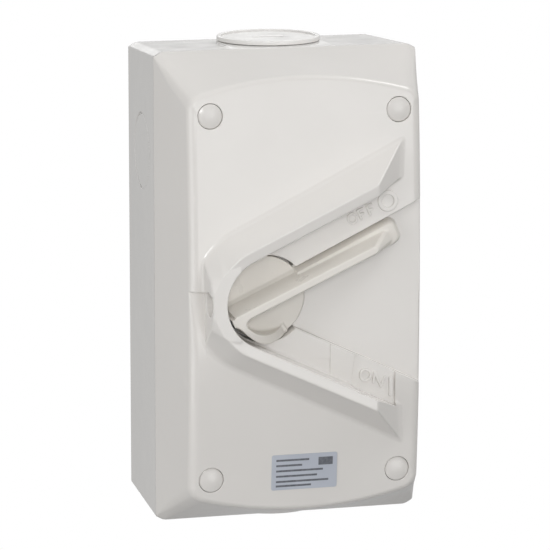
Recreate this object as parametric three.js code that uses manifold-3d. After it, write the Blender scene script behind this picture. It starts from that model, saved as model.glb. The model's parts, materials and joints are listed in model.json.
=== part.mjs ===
// Weatherproof rotary isolator switch, surface mounted, lever turned in a V-shaped guard.
//
// Frame: origin at the middle of the back face, +Z up, +X to the right of a person who
// faces the switch, and the front towards -Y. Lengths are millimetres. "Depth" is the
// distance in front of the wall, so a point at depth d lies at y = -d.

import * as THREE from 'three';
import { mergeVertices } from 'three/addons/utils/BufferGeometryUtils.js';
import { ConvexGeometry } from 'three/addons/geometries/ConvexGeometry.js';
import Module from 'manifold-3d';

const wasm = await Module();
wasm.setup();

// ---------- Driving dimensions ----------

const GAP = 0.3; // running or fitting gap between two pieces

// Enclosure
const BACK_WIDTH = 108.7;
const BACK_HEIGHT = 193.7;
const RIM_WIDTH = 113;
const RIM_HEIGHT = 198.4;
const RIM_DEPTH = 54.5; // where the base ends and the cover starts
const RIM_SEAM = 0.15;
const CORNER_WIDTH = 3.3;
const CORNER_HEIGHT = 1.8;
const WALL = 3.6;
const FRONT_DEPTH = 88.2; // at mid height
const FRONT_CROWN = 3.83; // fall of the front face at FRONT_CROWN_REACH above or below the middle
const FRONT_CROWN_REACH = 83;
const FRONT_WIDTH = 99.3;
const FRONT_HEIGHT = 168.8; // at the corners
const FRONT_RISE = 6.9; // how far the arched top edge rises above the corners
const SIDE_ROUND = 3.3;
const SIDE_ROUND_DEPTH = 2.75;
const EDGE_ROUND = 1.3;
const COVER_CAVITY_DEPTH = 80.2;
const GROOVE = { outer: 1, inner: 2.6, depth: 1.5 }; // gasket groove, as insets from the rim
const WALL_HOLE = { x: 38, z: 56, radius: 2.75 };

// Cover screws
const SCREW_X = 40.1;
const SCREW_Z = 75.9;
const CAP_RADIUS = 5.1;
const SCREW_RADIUS = 2.5;
const SCREW_SEAT_DEPTH = 62;
const POST_RADIUS = 7;

// Conduit entries
const CONDUIT_DEPTH = 27.5;
const CONDUIT_RADIUS = 16.2;
const FLANGE_RADIUS = 21.8;
const PAD_HEIGHT = 99.2; // half the distance between the two plug pads
const PAD_THICKNESS = 3;
const KNOCKOUT = { inner: 15.5, outer: 16.2, depth: 29.5, z: 54.4 };

// Lever and its guard
const AXIS_X = -17.5; // the lever's axis, at z = 0
const TRAVEL = 49; // degrees from OFF to ON
const OFF_ANGLE = TRAVEL / 2;
const GUARD_ANGLE = 25.2;
const GUARD_DEPTH = 100.5;
const GUARD_INNER = 19.4; // inner edge of the crest, measured from the axis
const GUARD_OUTER = 23.9;
const GUARD_SLOPE = 0.583; // growth of the outer side per millimetre below the crest
const GUARD_END_X = 26.9;
const GUARD_END_SLOPE = 0.98;
const VERTEX_X = -43.5; // flat outer end of the V
const VERTEX_LEAN = 0.6; // how far that end leans out by its foot
const PADLOCK_RADIUS = 5;
const PADLOCK_DEPTH = 94.5;
const POCKET_DEPTH = 83.4; // floor of the recess that the lever sweeps over
const POCKET_ANGLE = 25.7;
const POCKET_OFFSET = 6;
const PLATE_FLOOR_DEPTH = 86.1; // sunken plate beside the ON position
const KNOB_RADIUS = 17.3;
const KNOB_BORE = 18.2;
const KNOB_FACE_DEPTH = 84.3;
const KNOB_BACK_DEPTH = 79.4;
const LEVER_DEPTH = 98.5;
const LEVER_LENGTH = 63;
const HUB_RADIUS = 8;

// Switch mechanism, stacked forward from the back plate
const BODY_WIDTH = 60;
const BODY_HEIGHT = 64;
const PLATE_DEPTH = 8.2;
const PLATE_THICKNESS = 4;
const DECK_THICKNESS = 12;
const DECK_PITCH = 12.2;
const DECK_DEPTH = 12.4;
const DECK_FAN = 28; // degrees between the terminals of one deck and the next
const BLADE_DEPTH = 7.3; // from the back of a deck to its contacts
const BLADE_THICKNESS = 2;
const ROTOR_RADIUS = 17;
const SPINDLE_SIDE = 8.2;
const SPINDLE_DEPTH = 70;
const DETENT_DEPTH = 49;
const SHANK_RADIUS = 2; // of the mechanism's screws
const TIE_X = 24;
const TIE_Z = 22;
const TIE_POINTS = [[-TIE_X, TIE_Z], [TIE_X, -TIE_Z]];
const TERMINAL_RADIUS = 41.5;
const ARM_LENGTH = 48; // from the axis to the end of a terminal arm
const BRIDGE_RADIUS = 16.8; // the moving bridge's rounded ends
const MOUNT_SCREW_Z = 27.5;
const DETENT_THICKNESS = 9.6;
const DETENT_RADIUS = 13.5;
const PLUNGER_RADIUS = 3;

// Earth bar
const EARTH_BAR_Z = -62;
const EARTH_DEPTH = 12;
const EARTH_BAR_SIDE = 8;
const EARTH_BOSS_X = 22;
const EARTH_SCREW_X = [-10, 0, 10];

// ---------- Finishes ----------

const finish = (color, roughness, metalness = 0) =>
  new THREE.MeshStandardMaterial({ color, roughness, metalness });
const HOUSING = finish(0xcfccc8, 0.42);
const LEVER_PLASTIC = finish(0xc4c0b8, 0.45);
const CAP_PLASTIC = finish(0xcbc7c3, 0.42);
const RUBBER = finish(0x2b2b2b, 0.85);
const DARK_PLASTIC = finish(0x34363a, 0.55);
const GREY_PLASTIC = finish(0x7f858b, 0.5);
const STEEL = finish(0xa9acb0, 0.35, 0.95);
const BRASS = finish(0xb99a55, 0.35, 0.95);
const COPPER = finish(0xb4b8bc, 0.3, 0.95);
const LABEL_FILM = finish(0xbec3cd, 0.35);

// ---------- Shape helpers ----------

const radians = THREE.MathUtils.degToRad;
const mix = THREE.MathUtils.lerp;
const spread = (count, make) => Array.from({ length: count }, (_, index) => make(index));

function signedVolume(points, triangles) {
  const corner = (index) => new THREE.Vector3().fromArray(points, 3 * index);
  let volume = 0;
  for (let i = 0; i < triangles.length; i += 3) {
    const [a, b, c] = [corner(triangles[i]), corner(triangles[i + 1]), corner(triangles[i + 2])];
    volume += a.dot(b.cross(c)) / 6;
  }
  return volume;
}

// A closed three.js geometry as a manifold solid whose faces point out.
function solid(geometry) {
  const bare = geometry.clone();
  bare.deleteAttribute('normal');
  bare.deleteAttribute('uv');
  const merged = mergeVertices(bare, 1e-4);
  const points = merged.attributes.position.array;
  const triangles = [];
  for (let i = 0; i < merged.index.count; i += 3) {
    const [a, b, c] = merged.index.array.slice(i, i + 3);
    if (a !== b && b !== c && c !== a) triangles.push(a, b, c);
  }
  if (signedVolume(points, triangles) < 0) triangles.reverse();
  return new wasm.Manifold(new wasm.Mesh({
    numProp: 3,
    vertProperties: new Float32Array(points),
    triVerts: new Uint32Array(triangles),
  }));
}

function geometryOf(manifold) {
  const mesh = manifold.getMesh();
  const geometry = new THREE.BufferGeometry();
  geometry.setAttribute('position', new THREE.BufferAttribute(new Float32Array(mesh.vertProperties), 3));
  geometry.setIndex(new THREE.BufferAttribute(new Uint32Array(mesh.triVerts), 1));
  return geometry;
}

const join = (...solids) => solids.reduce((whole, next) => whole.add(next));
const cut = (whole, ...tools) => tools.reduce((left, tool) => left.subtract(tool), whole);

// A box between two corners, given as x, depth and z ranges.
function block([x0, x1], [depth0, depth1], [z0, z1]) {
  const geometry = new THREE.BoxGeometry(x1 - x0, depth1 - depth0, z1 - z0);
  geometry.translate((x0 + x1) / 2, -(depth0 + depth1) / 2, (z0 + z1) / 2);
  return solid(geometry);
}

// A turned solid round the Y axis; the profile is a closed list of [radius, depth].
function turned(profile, segments = 32) {
  const points = profile.map(([radius, depth]) => new THREE.Vector2(radius, -depth));
  if (profile[0][0] > 0) points.push(points[0].clone());
  return solid(new THREE.LatheGeometry(points, segments));
}

// A plain round bar along Y between two depths.
const bar = (radius, depth0, depth1, segments = 24) =>
  turned([[0, depth0], [radius, depth0], [radius, depth1], [0, depth1]], segments);

// The same turned solid, standing along Z: the profile is [radius, z].
const upright = (profile, segments = 32) =>
  turned(profile.map(([radius, z]) => [radius, -z]), segments).rotate([90, 0, 0]);

// A flat outline in x and z, carried forward from one depth to another.
function slab(outline, depth0, depth1) {
  const shape = new THREE.Shape(outline.map(([x, z]) => new THREE.Vector2(x, z)));
  const geometry = new THREE.ExtrudeGeometry(shape, { depth: depth1 - depth0, bevelEnabled: false });
  geometry.rotateX(Math.PI / 2);
  geometry.translate(0, -depth0, 0);
  return solid(geometry);
}

// A closed skin through rings of equal count, with one list of cap triangles for both ends.
function loft(rings, cap) {
  const count = rings[0].length;
  const triangles = [];
  for (let level = 0; level + 1 < rings.length; level += 1) {
    for (let i = 0; i < count; i += 1) {
      const next = (i + 1) % count;
      const [a, b] = [level * count + i, level * count + next];
      triangles.push(a, b, b + count, a, b + count, a + count);
    }
  }
  const last = (rings.length - 1) * count;
  for (const [a, b, c] of cap) {
    triangles.push(c, b, a, last + a, last + b, last + c);
  }
  const geometry = new THREE.BufferGeometry();
  geometry.setAttribute('position', new THREE.Float32BufferAttribute(rings.flat(2), 3));
  geometry.setIndex(triangles);
  return solid(geometry);
}

// Cap triangles for any flat outline, wound the same way as the outline.
function flatCap(outline) {
  const points = outline.map(([x, y]) => new THREE.Vector2(x, y));
  const faces = THREE.ShapeUtils.triangulateShape(points, []);
  const turn = THREE.ShapeUtils.area(points);
  const sameWay = ([a, b, c]) => THREE.ShapeUtils.area([points[a], points[b], points[c]]) * turn > 0;
  return faces.map((face) => (sameWay(face) ? face : [...face].reverse()));
}

// Cap triangles for a ring that starts at its lowest point and mirrors left to right.
function mirrorCap(count) {
  const top = count / 2;
  const triangles = [[0, 1, count - 1]];
  for (let i = 1; i < top - 1; i += 1) {
    triangles.push([i, i + 1, count - i - 1], [i, count - i - 1, count - i]);
  }
  triangles.push([top - 1, top, top + 1]);
  return triangles;
}

const polar = (radius, degrees, x = 0) =>
  [x + radius * Math.cos(radians(degrees)), radius * Math.sin(radians(degrees))];

// ---------- Enclosure sections ----------

const PLAIN = { arc: 1, side: 1 };
const CROWNED = { arc: 6, side: 10 };

const frontDepth = (z) => FRONT_DEPTH - FRONT_CROWN * (z / FRONT_CROWN_REACH) ** 2;

// One ring round the enclosure, from the middle of its bottom edge up the right side and
// back down the left. Its top and bottom edges rise as arcs, and its corners are cut.
function section({ width, height, rise = 0, corner = [CORNER_WIDTH, CORNER_HEIGHT], steps = PLAIN }) {
  const edge = width / 2 - corner[0];
  const side = height / 2 - corner[1];
  const arc = spread(steps.arc + 1, (i) => {
    const share = i / steps.arc;
    return { x: edge * share, z: height / 2 + rise * (1 - share ** 2), onSide: 0 };
  });
  const wall = spread(steps.side + 1, (i) =>
    ({ x: width / 2, z: mix(-side, side, i / steps.side), onSide: 1 }));
  const right = [
    ...arc.map((point) => ({ ...point, z: -point.z })),
    ...wall,
    ...[...arc].reverse(),
  ];
  const left = right.slice(1, -1).reverse().map((point) => ({ ...point, x: -point.x }));
  return [...right, ...left];
}

const atDepth = (ring, depth) => ring.map(({ x, z }) => [x, -depth, z]);

const sleeve = (rings) => loft(rings, mirrorCap(rings[0].length));

// The tapered box between two plain sections.
const taper = (near, nearDepth, far, farDepth) =>
  sleeve([atDepth(section(near), nearDepth), atDepth(section(far), farDepth)]);

const shrunk = ({ width, height }, inset) => ({ width: width - 2 * inset, height: height - 2 * inset });

const BACK = { width: BACK_WIDTH, height: BACK_HEIGHT };
const RIM = { width: RIM_WIDTH, height: RIM_HEIGHT };

// ---------- Base ----------

function rimRing(outerInset, innerInset, depth0, depth1) {
  const outer = shrunk(RIM, outerInset);
  const inner = shrunk(RIM, innerInset);
  const bore = taper(inner, depth0 - 1, inner, depth1 + 1);
  return cut(taper(outer, depth0, outer, depth1), bore);
}

// The flat U-shaped pad that a conduit plug seats on, at the top of the base.
function conduitPad() {
  const radius = FLANGE_RADIUS;
  const outline = new THREE.Shape();
  outline.moveTo(radius, -RIM_DEPTH);
  outline.lineTo(radius, -CONDUIT_DEPTH);
  outline.absarc(0, -CONDUIT_DEPTH, radius, 0, Math.PI, false);
  outline.lineTo(-radius, -RIM_DEPTH);
  const options = { depth: PAD_THICKNESS, bevelEnabled: false, curveSegments: 10 };
  const pad = new THREE.ExtrudeGeometry(outline, options);
  pad.translate(0, 0, PAD_HEIGHT - PAD_THICKNESS);
  return solid(pad);
}

function conduitHub() {
  const hub = [[0, 88], [20, 88], [20, 95], [0, 95]];
  return upright(hub, 20).translate([0, -CONDUIT_DEPTH, 0]);
}

function conduitBore() {
  const bore = [[0, 80], [CONDUIT_RADIUS, 80], [CONDUIT_RADIUS, 104], [0, 104]];
  return upright(bore, 28).translate([0, -CONDUIT_DEPTH, 0]);
}

// A shallow ring that marks a knock-out entry in a side wall.
function knockoutRing(side) {
  const { inner, outer, depth, z } = KNOCKOUT;
  const draft = Math.atan((RIM_WIDTH - BACK_WIDTH) / 2 / RIM_DEPTH);
  const ring = turned([[inner, -3], [outer, -3], [outer, 0.5], [inner, 0.5]], 32);
  const middle = mix(BACK_WIDTH, RIM_WIDTH, depth / RIM_DEPTH) / 2;
  const turn = side * (90 - THREE.MathUtils.radToDeg(draft));
  return ring.rotate([0, 0, turn]).translate([side * middle, -depth, z]);
}

function screwPost(x, z) {
  const reach = Math.sign(x) * 52;
  const rib = block([Math.min(x, reach), Math.max(x, reach)], [WALL - 1, 50], [z - 1.6, z + 1.6]);
  return join(bar(POST_RADIUS, WALL - 1, RIM_DEPTH, 14).translate([x, 0, z]), rib);
}

// Every place at plus and minus x and plus and minus z.
const fourCorners = (x, z) => [-x, x].flatMap((left) => [-z, z].map((low) => [left, low]));

// Posts for the cover's screws, pillars for the mechanism and stands for the earth bar.
function baseStands() {
  const posts = fourCorners(SCREW_X, SCREW_Z).map(([x, z]) => screwPost(x, z));
  const pillars = [-MOUNT_SCREW_Z, MOUNT_SCREW_Z].map((z) =>
    bar(5.5, WALL - 1, PLATE_DEPTH - RIM_SEAM, 14).translate([AXIS_X, 0, z]));
  const earthStands = [-EARTH_BOSS_X, EARTH_BOSS_X].map((x) =>
    block([x - 4, x + 4], [WALL - 1, EARTH_DEPTH - RIM_SEAM], [EARTH_BAR_Z - 4, EARTH_BAR_Z + 4]));
  return [...posts, ...pillars, ...earthStands];
}

function baseBores() {
  const screwBores = fourCorners(SCREW_X, SCREW_Z).map(([x, z]) =>
    bar(SCREW_RADIUS + GAP, 24, RIM_DEPTH + 1, 12).translate([x, 0, z]));
  const wallBores = fourCorners(WALL_HOLE.x, WALL_HOLE.z).map(([x, z]) =>
    bar(WALL_HOLE.radius, -1, WALL + 1, 12).translate([x, 0, z]));
  const pillarBores = [-MOUNT_SCREW_Z, MOUNT_SCREW_Z].map((z) =>
    bar(2 + GAP, 1.6, PLATE_DEPTH + 1, 12).translate([AXIS_X, 0, z]));
  return [...screwBores, ...wallBores, ...pillarBores];
}

function baseBox() {
  const shell = taper(BACK, 0, RIM, RIM_DEPTH);
  const hollow = taper(shrunk(BACK, WALL), WALL, shrunk(RIM, WALL), RIM_DEPTH + 0.5);
  const bothEnds = (make) => [make(), make().mirror([0, 0, 1])];
  const body = join(cut(shell, hollow), ...bothEnds(conduitPad), ...bothEnds(conduitHub), ...baseStands());
  const groove = rimRing(GROOVE.outer, GROOVE.inner, RIM_DEPTH - GROOVE.depth, RIM_DEPTH + 1);
  return cut(body, ...bothEnds(conduitBore), knockoutRing(1), knockoutRing(-1), ...baseBores(), groove);
}

// ---------- Cover ----------

// The rings from the rim to the front face: the face is crowned from top to bottom, and
// rounded over at its edges.
function coverRings() {
  const rim = section({ ...RIM, steps: CROWNED });
  const front = section({
    width: FRONT_WIDTH, height: FRONT_HEIGHT, rise: FRONT_RISE, corner: [2.6, 2.4], steps: CROWNED,
  });
  const roundStep = (share) => front.map(({ x, z, onSide }) => {
    const angle = share * Math.PI / 2;
    const insetX = SIDE_ROUND * (1 - Math.cos(angle)) * 2 / FRONT_WIDTH;
    const insetZ = EDGE_ROUND * (1 - Math.cos(angle)) * 2 / FRONT_HEIGHT;
    const drop = mix(EDGE_ROUND, SIDE_ROUND_DEPTH, onSide) * (1 - Math.sin(angle));
    return [x * (1 - insetX), -(frontDepth(z) - drop), z * (1 - insetZ)];
  });
  return [atDepth(rim, RIM_DEPTH + RIM_SEAM), ...[0, 1 / 3, 2 / 3, 1].map(roundStep)];
}

function coverHollow() {
  const steps = { arc: 3, side: 1 };
  const rim = section({ ...shrunk(RIM, 3.4), steps });
  const end = section({
    width: FRONT_WIDTH - 4.9, height: FRONT_HEIGHT - 7.2, rise: 6.6, corner: [3, 2.4], steps,
  });
  return sleeve([atDepth(rim, RIM_DEPTH - 1), atDepth(end, COVER_CAVITY_DEPTH)]);
}

// The V outline at a given distance from the axis: an arc round the axis and two arms that
// leave it as tangents and end at x = end.
function guardOutline(offset, end) {
  const steps = 14;
  const start = 90 + GUARD_ANGLE;
  const sweep = 360 - 2 * start;
  const arc = spread(steps + 1, (i) => polar(offset, start + sweep * i / steps, AXIS_X));
  const rise = (offset + (end - AXIS_X) * Math.sin(radians(GUARD_ANGLE))) / Math.cos(radians(GUARD_ANGLE));
  return [[end, rise], ...arc, [end, -rise]];
}

const raised = (outline, depth) => outline.map(([x, z]) => [x, -depth, z]);

function guardChannel() {
  const low = guardOutline(GUARD_INNER - 1, 62);
  const high = guardOutline(GUARD_INNER + 0.2, 62);
  return loft([raised(low, 80), raised(high, GUARD_DEPTH + 3)], flatCap(low));
}

// Flat-topped boss at the point of the V, round the padlock hole, faired into both arms.
function vertexBoss() {
  const corners = [];
  for (const side of [-1, 1]) {
    corners.push(
      [-31.4, GUARD_DEPTH, 19.6 * side],
      [-38.6, GUARD_DEPTH, 12.9 * side],
      [VERTEX_X + 0.1, GUARD_DEPTH, 4.5 * side],
      [VERTEX_X - 0.3, 95.8, 15.4 * side],
      [VERTEX_X - 0.6, 84, 17.9 * side],
      [-35.2, 84, 27.2 * side],
    );
  }
  return solid(new ConvexGeometry(corners.map(([x, depth, z]) => new THREE.Vector3(x, -depth, z))));
}

function guardShell() {
  const foot = 84;
  const rise = GUARD_DEPTH - foot;
  const low = guardOutline(GUARD_OUTER + GUARD_SLOPE * rise, GUARD_END_X + GUARD_END_SLOPE * rise);
  const high = guardOutline(GUARD_OUTER, GUARD_END_X);
  const body = loft([raised(low, foot), raised(high, GUARD_DEPTH)], flatCap(low));
  const lean = THREE.MathUtils.radToDeg(Math.atan(VERTEX_LEAN / rise));
  const beyond = block([-20, 0], [-30, 30], [-50, 50]).rotate([0, 0, -lean]);
  const trimmed = cut(body, beyond.translate([VERTEX_X, -GUARD_DEPTH, 0]));
  return cut(join(trimmed, vertexBoss()), guardChannel());
}

// The sunken field between OFF and ON that the lever sweeps, open to the right.
function leverPocket() {
  const slope = Math.tan(radians(POCKET_ANGLE));
  const height = (x) => POCKET_OFFSET / Math.cos(radians(POCKET_ANGLE)) + (x - AXIS_X) * slope;
  const far = 62;
  const [near, wide] = [height(AXIS_X), height(far)];
  const outline = [[AXIS_X, -near], [far, -wide], [far, wide], [AXIS_X, near]];
  return slab(outline, POCKET_DEPTH, FRONT_DEPTH + 2);
}

// Slightly sunken plate that carries the ON mark.
function onPlate() {
  const slope = Math.tan(radians(POCKET_ANGLE));
  const guard = radians(GUARD_ANGLE);
  const upper = (x) => 1 - POCKET_OFFSET / Math.cos(radians(POCKET_ANGLE)) - (x - AXIS_X) * slope;
  const lower = (x) => 0.4 - (GUARD_INNER + (x - AXIS_X) * Math.sin(guard)) / Math.cos(guard);
  const outline = [[19, lower(19)], [38.5, lower(38.5)], [38.5, upper(38.5)], [20.6, upper(20.6)]];
  return slab(outline, PLATE_FLOOR_DEPTH, FRONT_DEPTH + 1);
}

// Ramp beside the point of the V, where a padlock's shackle drops away from its hole.
function shackleCut() {
  const floor = [[-49.9, 86, 3.8], [-43.2, 86, 3.8], [-49.9, 88, -18], [-43.2, 88, -18]];
  const above = [[-49.9, 91, 3.8], [-43.2, 91, 3.8], [-49.9, 91, -18], [-43.2, 91, -18]];
  const corners = [...floor, ...above].map(([x, depth, z]) => new THREE.Vector3(x, -depth, z));
  return solid(new ConvexGeometry(corners));
}

function padlockHole() {
  const hole = turned([[0, -6], [PADLOCK_RADIUS, -6], [PADLOCK_RADIUS, 6], [0, 6]], 24);
  return hole.rotate([0, 0, 90]).translate([-40, -PADLOCK_DEPTH, 0]);
}

function coverColumns() {
  const column = bar(CAP_RADIUS + 2.4, RIM_DEPTH + RIM_SEAM, COVER_CAVITY_DEPTH + 1, 14);
  return fourCorners(SCREW_X, SCREW_Z).map(([x, z]) => column.translate([x, 0, z]));
}

function coverScrewBores() {
  const wide = CAP_RADIUS + GAP;
  const narrow = SCREW_RADIUS + GAP;
  const [start, end] = [RIM_DEPTH - 1, FRONT_DEPTH + 2];
  const bore = turned([
    [0, start], [narrow, start], [narrow, SCREW_SEAT_DEPTH],
    [wide, SCREW_SEAT_DEPTH], [wide, end], [0, end],
  ], 20);
  return fourCorners(SCREW_X, SCREW_Z).map(([x, z]) => bore.translate([x, 0, z]));
}

// The cup behind the lever's disc, with the bearing for its hub.
function knobCup() {
  const outer = KNOB_BORE + 2.6;
  const end = COVER_CAVITY_DEPTH + 1;
  const profile = [[0, 73.8], [12, 73.8], [12, 76], [outer, 76], [outer, end], [0, end]];
  return turned(profile, 28).translate([AXIS_X, 0, 0]);
}

function knobBore() {
  const hub = HUB_RADIUS + 0.4;
  const seat = KNOB_RADIUS + 0.3;
  const profile = [
    [0, 70], [hub, 70], [hub, 77], [10.5, 77], [10.5, 79],
    [seat, 79], [seat, POCKET_DEPTH], [KNOB_BORE, POCKET_DEPTH], [KNOB_BORE, 90], [0, 90],
  ];
  return turned(profile, 40).translate([AXIS_X, 0, 0]);
}

function frontCover() {
  const shell = cut(sleeve(coverRings()), coverHollow());
  const body = join(shell, guardShell(), knobCup(), ...coverColumns());
  return cut(body, leverPocket(), onPlate(), shackleCut(), padlockHole(), knobBore(), ...coverScrewBores());
}

// ---------- Seals, plugs, screws and caps ----------

const coverGasket = () =>
  rimRing(GROOVE.outer + GAP, GROOVE.inner - GAP, RIM_DEPTH - GROOVE.depth + GAP, RIM_DEPTH - 0.05);

// Blanking plug: raised rim round a sunken face, with a coin slot, on a round spigot.
function conduitPlug() {
  const foot = PAD_HEIGHT + 0.2;
  const spigot = CONDUIT_RADIUS - 0.4;
  const profile = [
    [0, 89], [spigot - 1.6, 89], [spigot, 90.4],
    [spigot, foot - 1.4], [spigot - 1.2, foot - 1.4], [spigot - 1.2, foot],
    [FLANGE_RADIUS, foot], [FLANGE_RADIUS, foot + 1.6], [FLANGE_RADIUS - 0.4, foot + 1.9],
    [FLANGE_RADIUS - 1.8, foot + 1.9], [FLANGE_RADIUS - 2.4, foot + 1.2], [0, foot + 1.2],
  ];
  const slot = block([-7, 7], [CONDUIT_DEPTH - 1, CONDUIT_DEPTH + 1], [foot + 0.3, foot + 3]);
  return cut(upright(profile, 32).translate([0, -CONDUIT_DEPTH, 0]), slot);
}

function plugRing() {
  const inner = CONDUIT_RADIUS - 1.3;
  const foot = PAD_HEIGHT - 1;
  const profile = [[inner, foot], [inner + 0.9, foot], [inner + 0.9, foot + 0.9], [inner, foot + 0.9]];
  return upright(profile, 20).translate([0, -CONDUIT_DEPTH, 0]);
}

function coverScrew() {
  const head = SCREW_SEAT_DEPTH + 0.2;
  const profile = [
    [0, 26], [1.2, 26], [SCREW_RADIUS, 28], [SCREW_RADIUS, head],
    [4.4, head], [4.4, head + 2.4], [3.6, head + 3.3], [0, head + 3.3],
  ];
  const slot = block([-5, 5], [head + 1.9, head + 4], [-0.6, 0.6]);
  return cut(turned(profile, 12), slot);
}

// Domed push-in cap that closes a screw well flush with the cover.
function screwCap() {
  const rim = frontDepth(SCREW_Z) - 0.45;
  const dome = spread(3, (i) => {
    const share = (i + 1) / 3;
    return [CAP_RADIUS * (1 - share), rim + 0.75 * (1 - (1 - share) ** 2)];
  });
  const profile = [
    [0, rim - 5], [3.9, rim - 5], [4.6, rim - 4], [4.2, rim - 1.4],
    [CAP_RADIUS, rim - 1.4], [CAP_RADIUS, rim], ...dome,
  ];
  return turned(profile, 24);
}

function ratingLabel() {
  const [width, height, thickness] = [28.2, 15.2, 0.25];
  const plate = block([-width / 2, width / 2], [0.08, 0.08 + thickness], [-height / 2, height / 2]);
  const middle = -74.4;
  const tilt = THREE.MathUtils.radToDeg(Math.atan(2 * FRONT_CROWN * middle / FRONT_CROWN_REACH ** 2));
  return plate.rotate([-tilt, 0, 0]).translate([-0.3, -frontDepth(middle), middle]);
}

// ---------- Lever ----------

// One cross-section of the lever's blade, at a distance along it: a narrow crest on
// hollow-sided flanks that spread towards the foot.
function bladeRing(along, crest, foot, top, bottom) {
  const steps = 4;
  const flank = spread(steps + 1, (i) => {
    const share = i / steps;
    return [mix(foot, crest, 1 - (1 - share) ** 2.2), mix(bottom + 0.6, top, share)];
  });
  const half = [[foot, bottom], ...flank];
  const outline = [...half, ...[...half].reverse().map(([across, depth]) => [-across, depth])];
  return outline.map(([across, depth]) => [along, -depth, across]);
}

function leverBlade() {
  const foot = POCKET_DEPTH + 0.5;
  const crestEnd = 49.5;
  const [noseHalf, noseRadius] = [5, 3];
  const noseMiddle = LEVER_LENGTH - noseRadius;
  const rings = [
    bladeRing(-16.8, 1.4, 3.5, LEVER_DEPTH, foot),
    bladeRing(16, 1.4, 3.8, LEVER_DEPTH, foot),
    bladeRing(crestEnd, 1.4, 4.9, LEVER_DEPTH, foot),
    bladeRing(crestEnd + 1.2, 1.3, 4.9, LEVER_DEPTH - 0.8, foot),
  ];
  for (const share of [0, 0.45, 0.75, 0.93]) {
    const along = noseMiddle + noseRadius * share;
    const fall = (along - crestEnd) / (LEVER_LENGTH - crestEnd);
    const half = noseHalf - noseRadius * (1 - Math.sqrt(1 - share ** 2));
    const top = mix(LEVER_DEPTH - 1, 87.2, fall);
    rings.push(bladeRing(along, half * mix(0.3, 0.7, fall), half, top, foot));
  }
  const cap = flatCap(rings[0].map(([, y, z]) => [z, y]));
  return loft(rings, cap);
}

// Raised hook that runs from the lever's tail round the rim of the disc and ramps down.
function leverHook() {
  const [start, end] = [176, 276];
  const steps = 14;
  const rings = spread(steps + 1, (i) => {
    const share = i / steps;
    const angle = mix(start, end, share);
    const top = LEVER_DEPTH - 12.6 * Math.max(0, (share - 0.2) / 0.8) ** 2.2;
    const corner = (radius, depth) => {
      const [x, z] = polar(radius, angle);
      return [x, -depth, z];
    };
    const inner = KNOB_RADIUS - 3;
    return [corner(inner - 0.5, KNOB_FACE_DEPTH - 1), corner(KNOB_RADIUS, KNOB_FACE_DEPTH - 1),
      corner(KNOB_RADIUS, top), corner(inner, top)];
  });
  return loft(rings, [[0, 1, 2], [0, 2, 3]]);
}

// The lever in its own frame: the blade lies along +X and the axis is Y.
function operatingLever() {
  const disc = turned([
    [0, 60.5], [HUB_RADIUS, 60.5],
    [HUB_RADIUS, 72], [HUB_RADIUS - 0.8, 72], [HUB_RADIUS - 0.8, 73.6], [HUB_RADIUS, 73.6],
    [HUB_RADIUS, KNOB_BACK_DEPTH], [KNOB_RADIUS, KNOB_BACK_DEPTH], [KNOB_RADIUS, KNOB_FACE_DEPTH - 0.4],
    [KNOB_RADIUS - 0.4, KNOB_FACE_DEPTH], [0, KNOB_FACE_DEPTH],
  ], 40);
  const half = SPINDLE_SIDE / 2 + GAP;
  const socket = block([-half, half], [60, 71.5], [-half, half]).rotate([0, -OFF_ANGLE, 0]);
  return cut(join(disc, leverBlade(), leverHook()), socket);
}

const shaftSeal = () => turned([[8.3, 77.2], [10.2, 77.2], [10.2, 78.8], [8.3, 78.8]], 24);

// Open clip in the hub's groove, which keeps the lever in the cover.
function retainingClip() {
  const ring = turned([[7.5, 72.3], [10.6, 72.3], [10.6, 73.3], [7.5, 73.3]], 24);
  return cut(ring, block([-2.5, 2.5], [70, 75], [0, 12]));
}

// ---------- Switch mechanism ----------

const tieBore = (depth0, depth1) =>
  TIE_POINTS.map(([x, z]) => bar(2.3, depth0, depth1, 12).translate([x, 0, z]));

function backPlate() {
  const [start, end] = [PLATE_DEPTH, PLATE_DEPTH + PLATE_THICKNESS];
  const plate = block([-BODY_WIDTH / 2, BODY_WIDTH / 2], [start, end], [-33, 33]);
  const journal = bar(4.9, start - 1, end + 1, 24);
  const screws = [-MOUNT_SCREW_Z, MOUNT_SCREW_Z].map((z) => {
    const profile = [
      [0, start - 1], [2.3, start - 1], [2.3, end - 2.2],
      [4.3, end - 2.2], [4.3, end + 1], [0, end + 1],
    ];
    return turned(profile, 16).translate([0, 0, z]);
  });
  return cut(plate, journal, ...screws, ...tieBore(start - 1, end + 1));
}

// One contact deck, from depth 0: a block with a round chamber, and two arms that carry
// the terminals out at the deck's own angle.
function contactDeck(fan) {
  const turn = (part) => part.rotate([0, -fan, 0]);
  const [wide, high] = [BODY_WIDTH / 2, BODY_HEIGHT / 2];
  const body = block([-wide, wide], [0, DECK_THICKNESS], [-high, high]);
  const arms = turn(block([-6.5, 6.5], [0, BLADE_DEPTH - GAP], [-ARM_LENGTH, ARM_LENGTH]));
  const chamber = bar(ROTOR_RADIUS + 0.5, -1, DECK_THICKNESS + 1, 28);
  const [floor, roof] = [BLADE_DEPTH - GAP, BLADE_DEPTH + BLADE_THICKNESS + GAP];
  const window = turn(block([-4.8, 4.8], [floor, roof], [-ARM_LENGTH - 2, ARM_LENGTH + 2]));
  const holes = [-TERMINAL_RADIUS, TERMINAL_RADIUS].map((z) =>
    turn(bar(2.3, 2, 20, 12).translate([0, 0, z])));
  return cut(join(body, arms), chamber, window, ...holes, ...tieBore(-1, DECK_THICKNESS + 1));
}

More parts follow.
